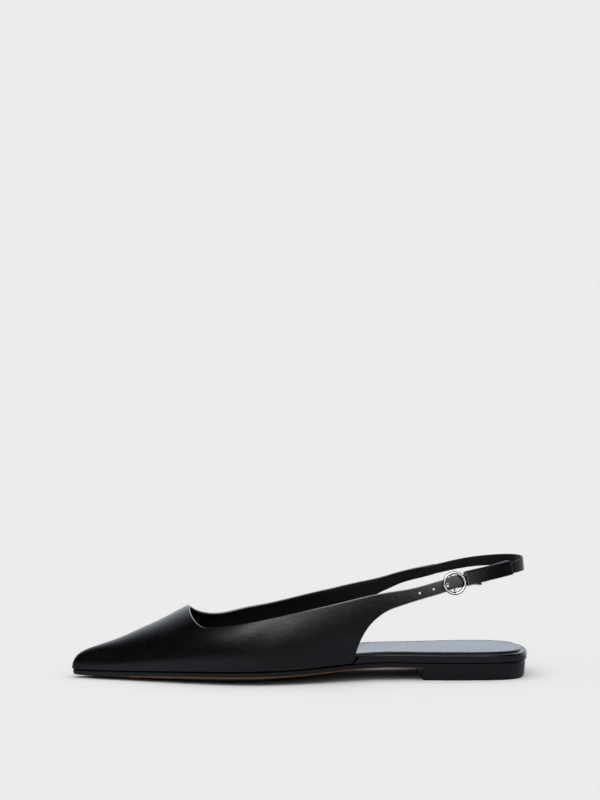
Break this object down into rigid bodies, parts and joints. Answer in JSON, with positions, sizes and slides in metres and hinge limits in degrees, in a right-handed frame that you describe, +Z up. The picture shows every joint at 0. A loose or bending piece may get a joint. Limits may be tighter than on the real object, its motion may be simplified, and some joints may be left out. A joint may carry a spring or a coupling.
{
  "type": "sling back flat",
  "caption": "Pointed sling back flat for women, left shoe, with a square-cut throat, low heel and a buckled ankle sling.",
  "frame": {"origin": "middle of the shoe's bounding box, on the floor that it stands on", "axes": "+X towards the back of the heel, +Y towards the medial (inner) side, +Z up"},
  "size_m": [0.2634, 0.0756, 0.0688],
  "materials": {
    "upper_leather": "smooth black calf, semi-gloss",
    "strap_leather": "smooth black calf, semi-gloss",
    "plated_metal": "polished silver plate",
    "sock_leather": "smooth black lining leather with a stitched edge",
    "footbed_leather": "black leather wrapped over the board",
    "sole_leather": "black painted edge, tan underside",
    "heel_cover": "black painted stack, satin"
  },
  "bodies": {
    "root": {"upper": "upper_leather", "back_strap": "strap_leather", "strap_sleeve": "strap_leather", "buckle_ring": "plated_metal", "buckle_prong": "plated_metal", "sock": "sock_leather", "footbed": "footbed_leather", "outsole": "sole_leather", "heel": "heel_cover"}
  },
  "joints": []
}
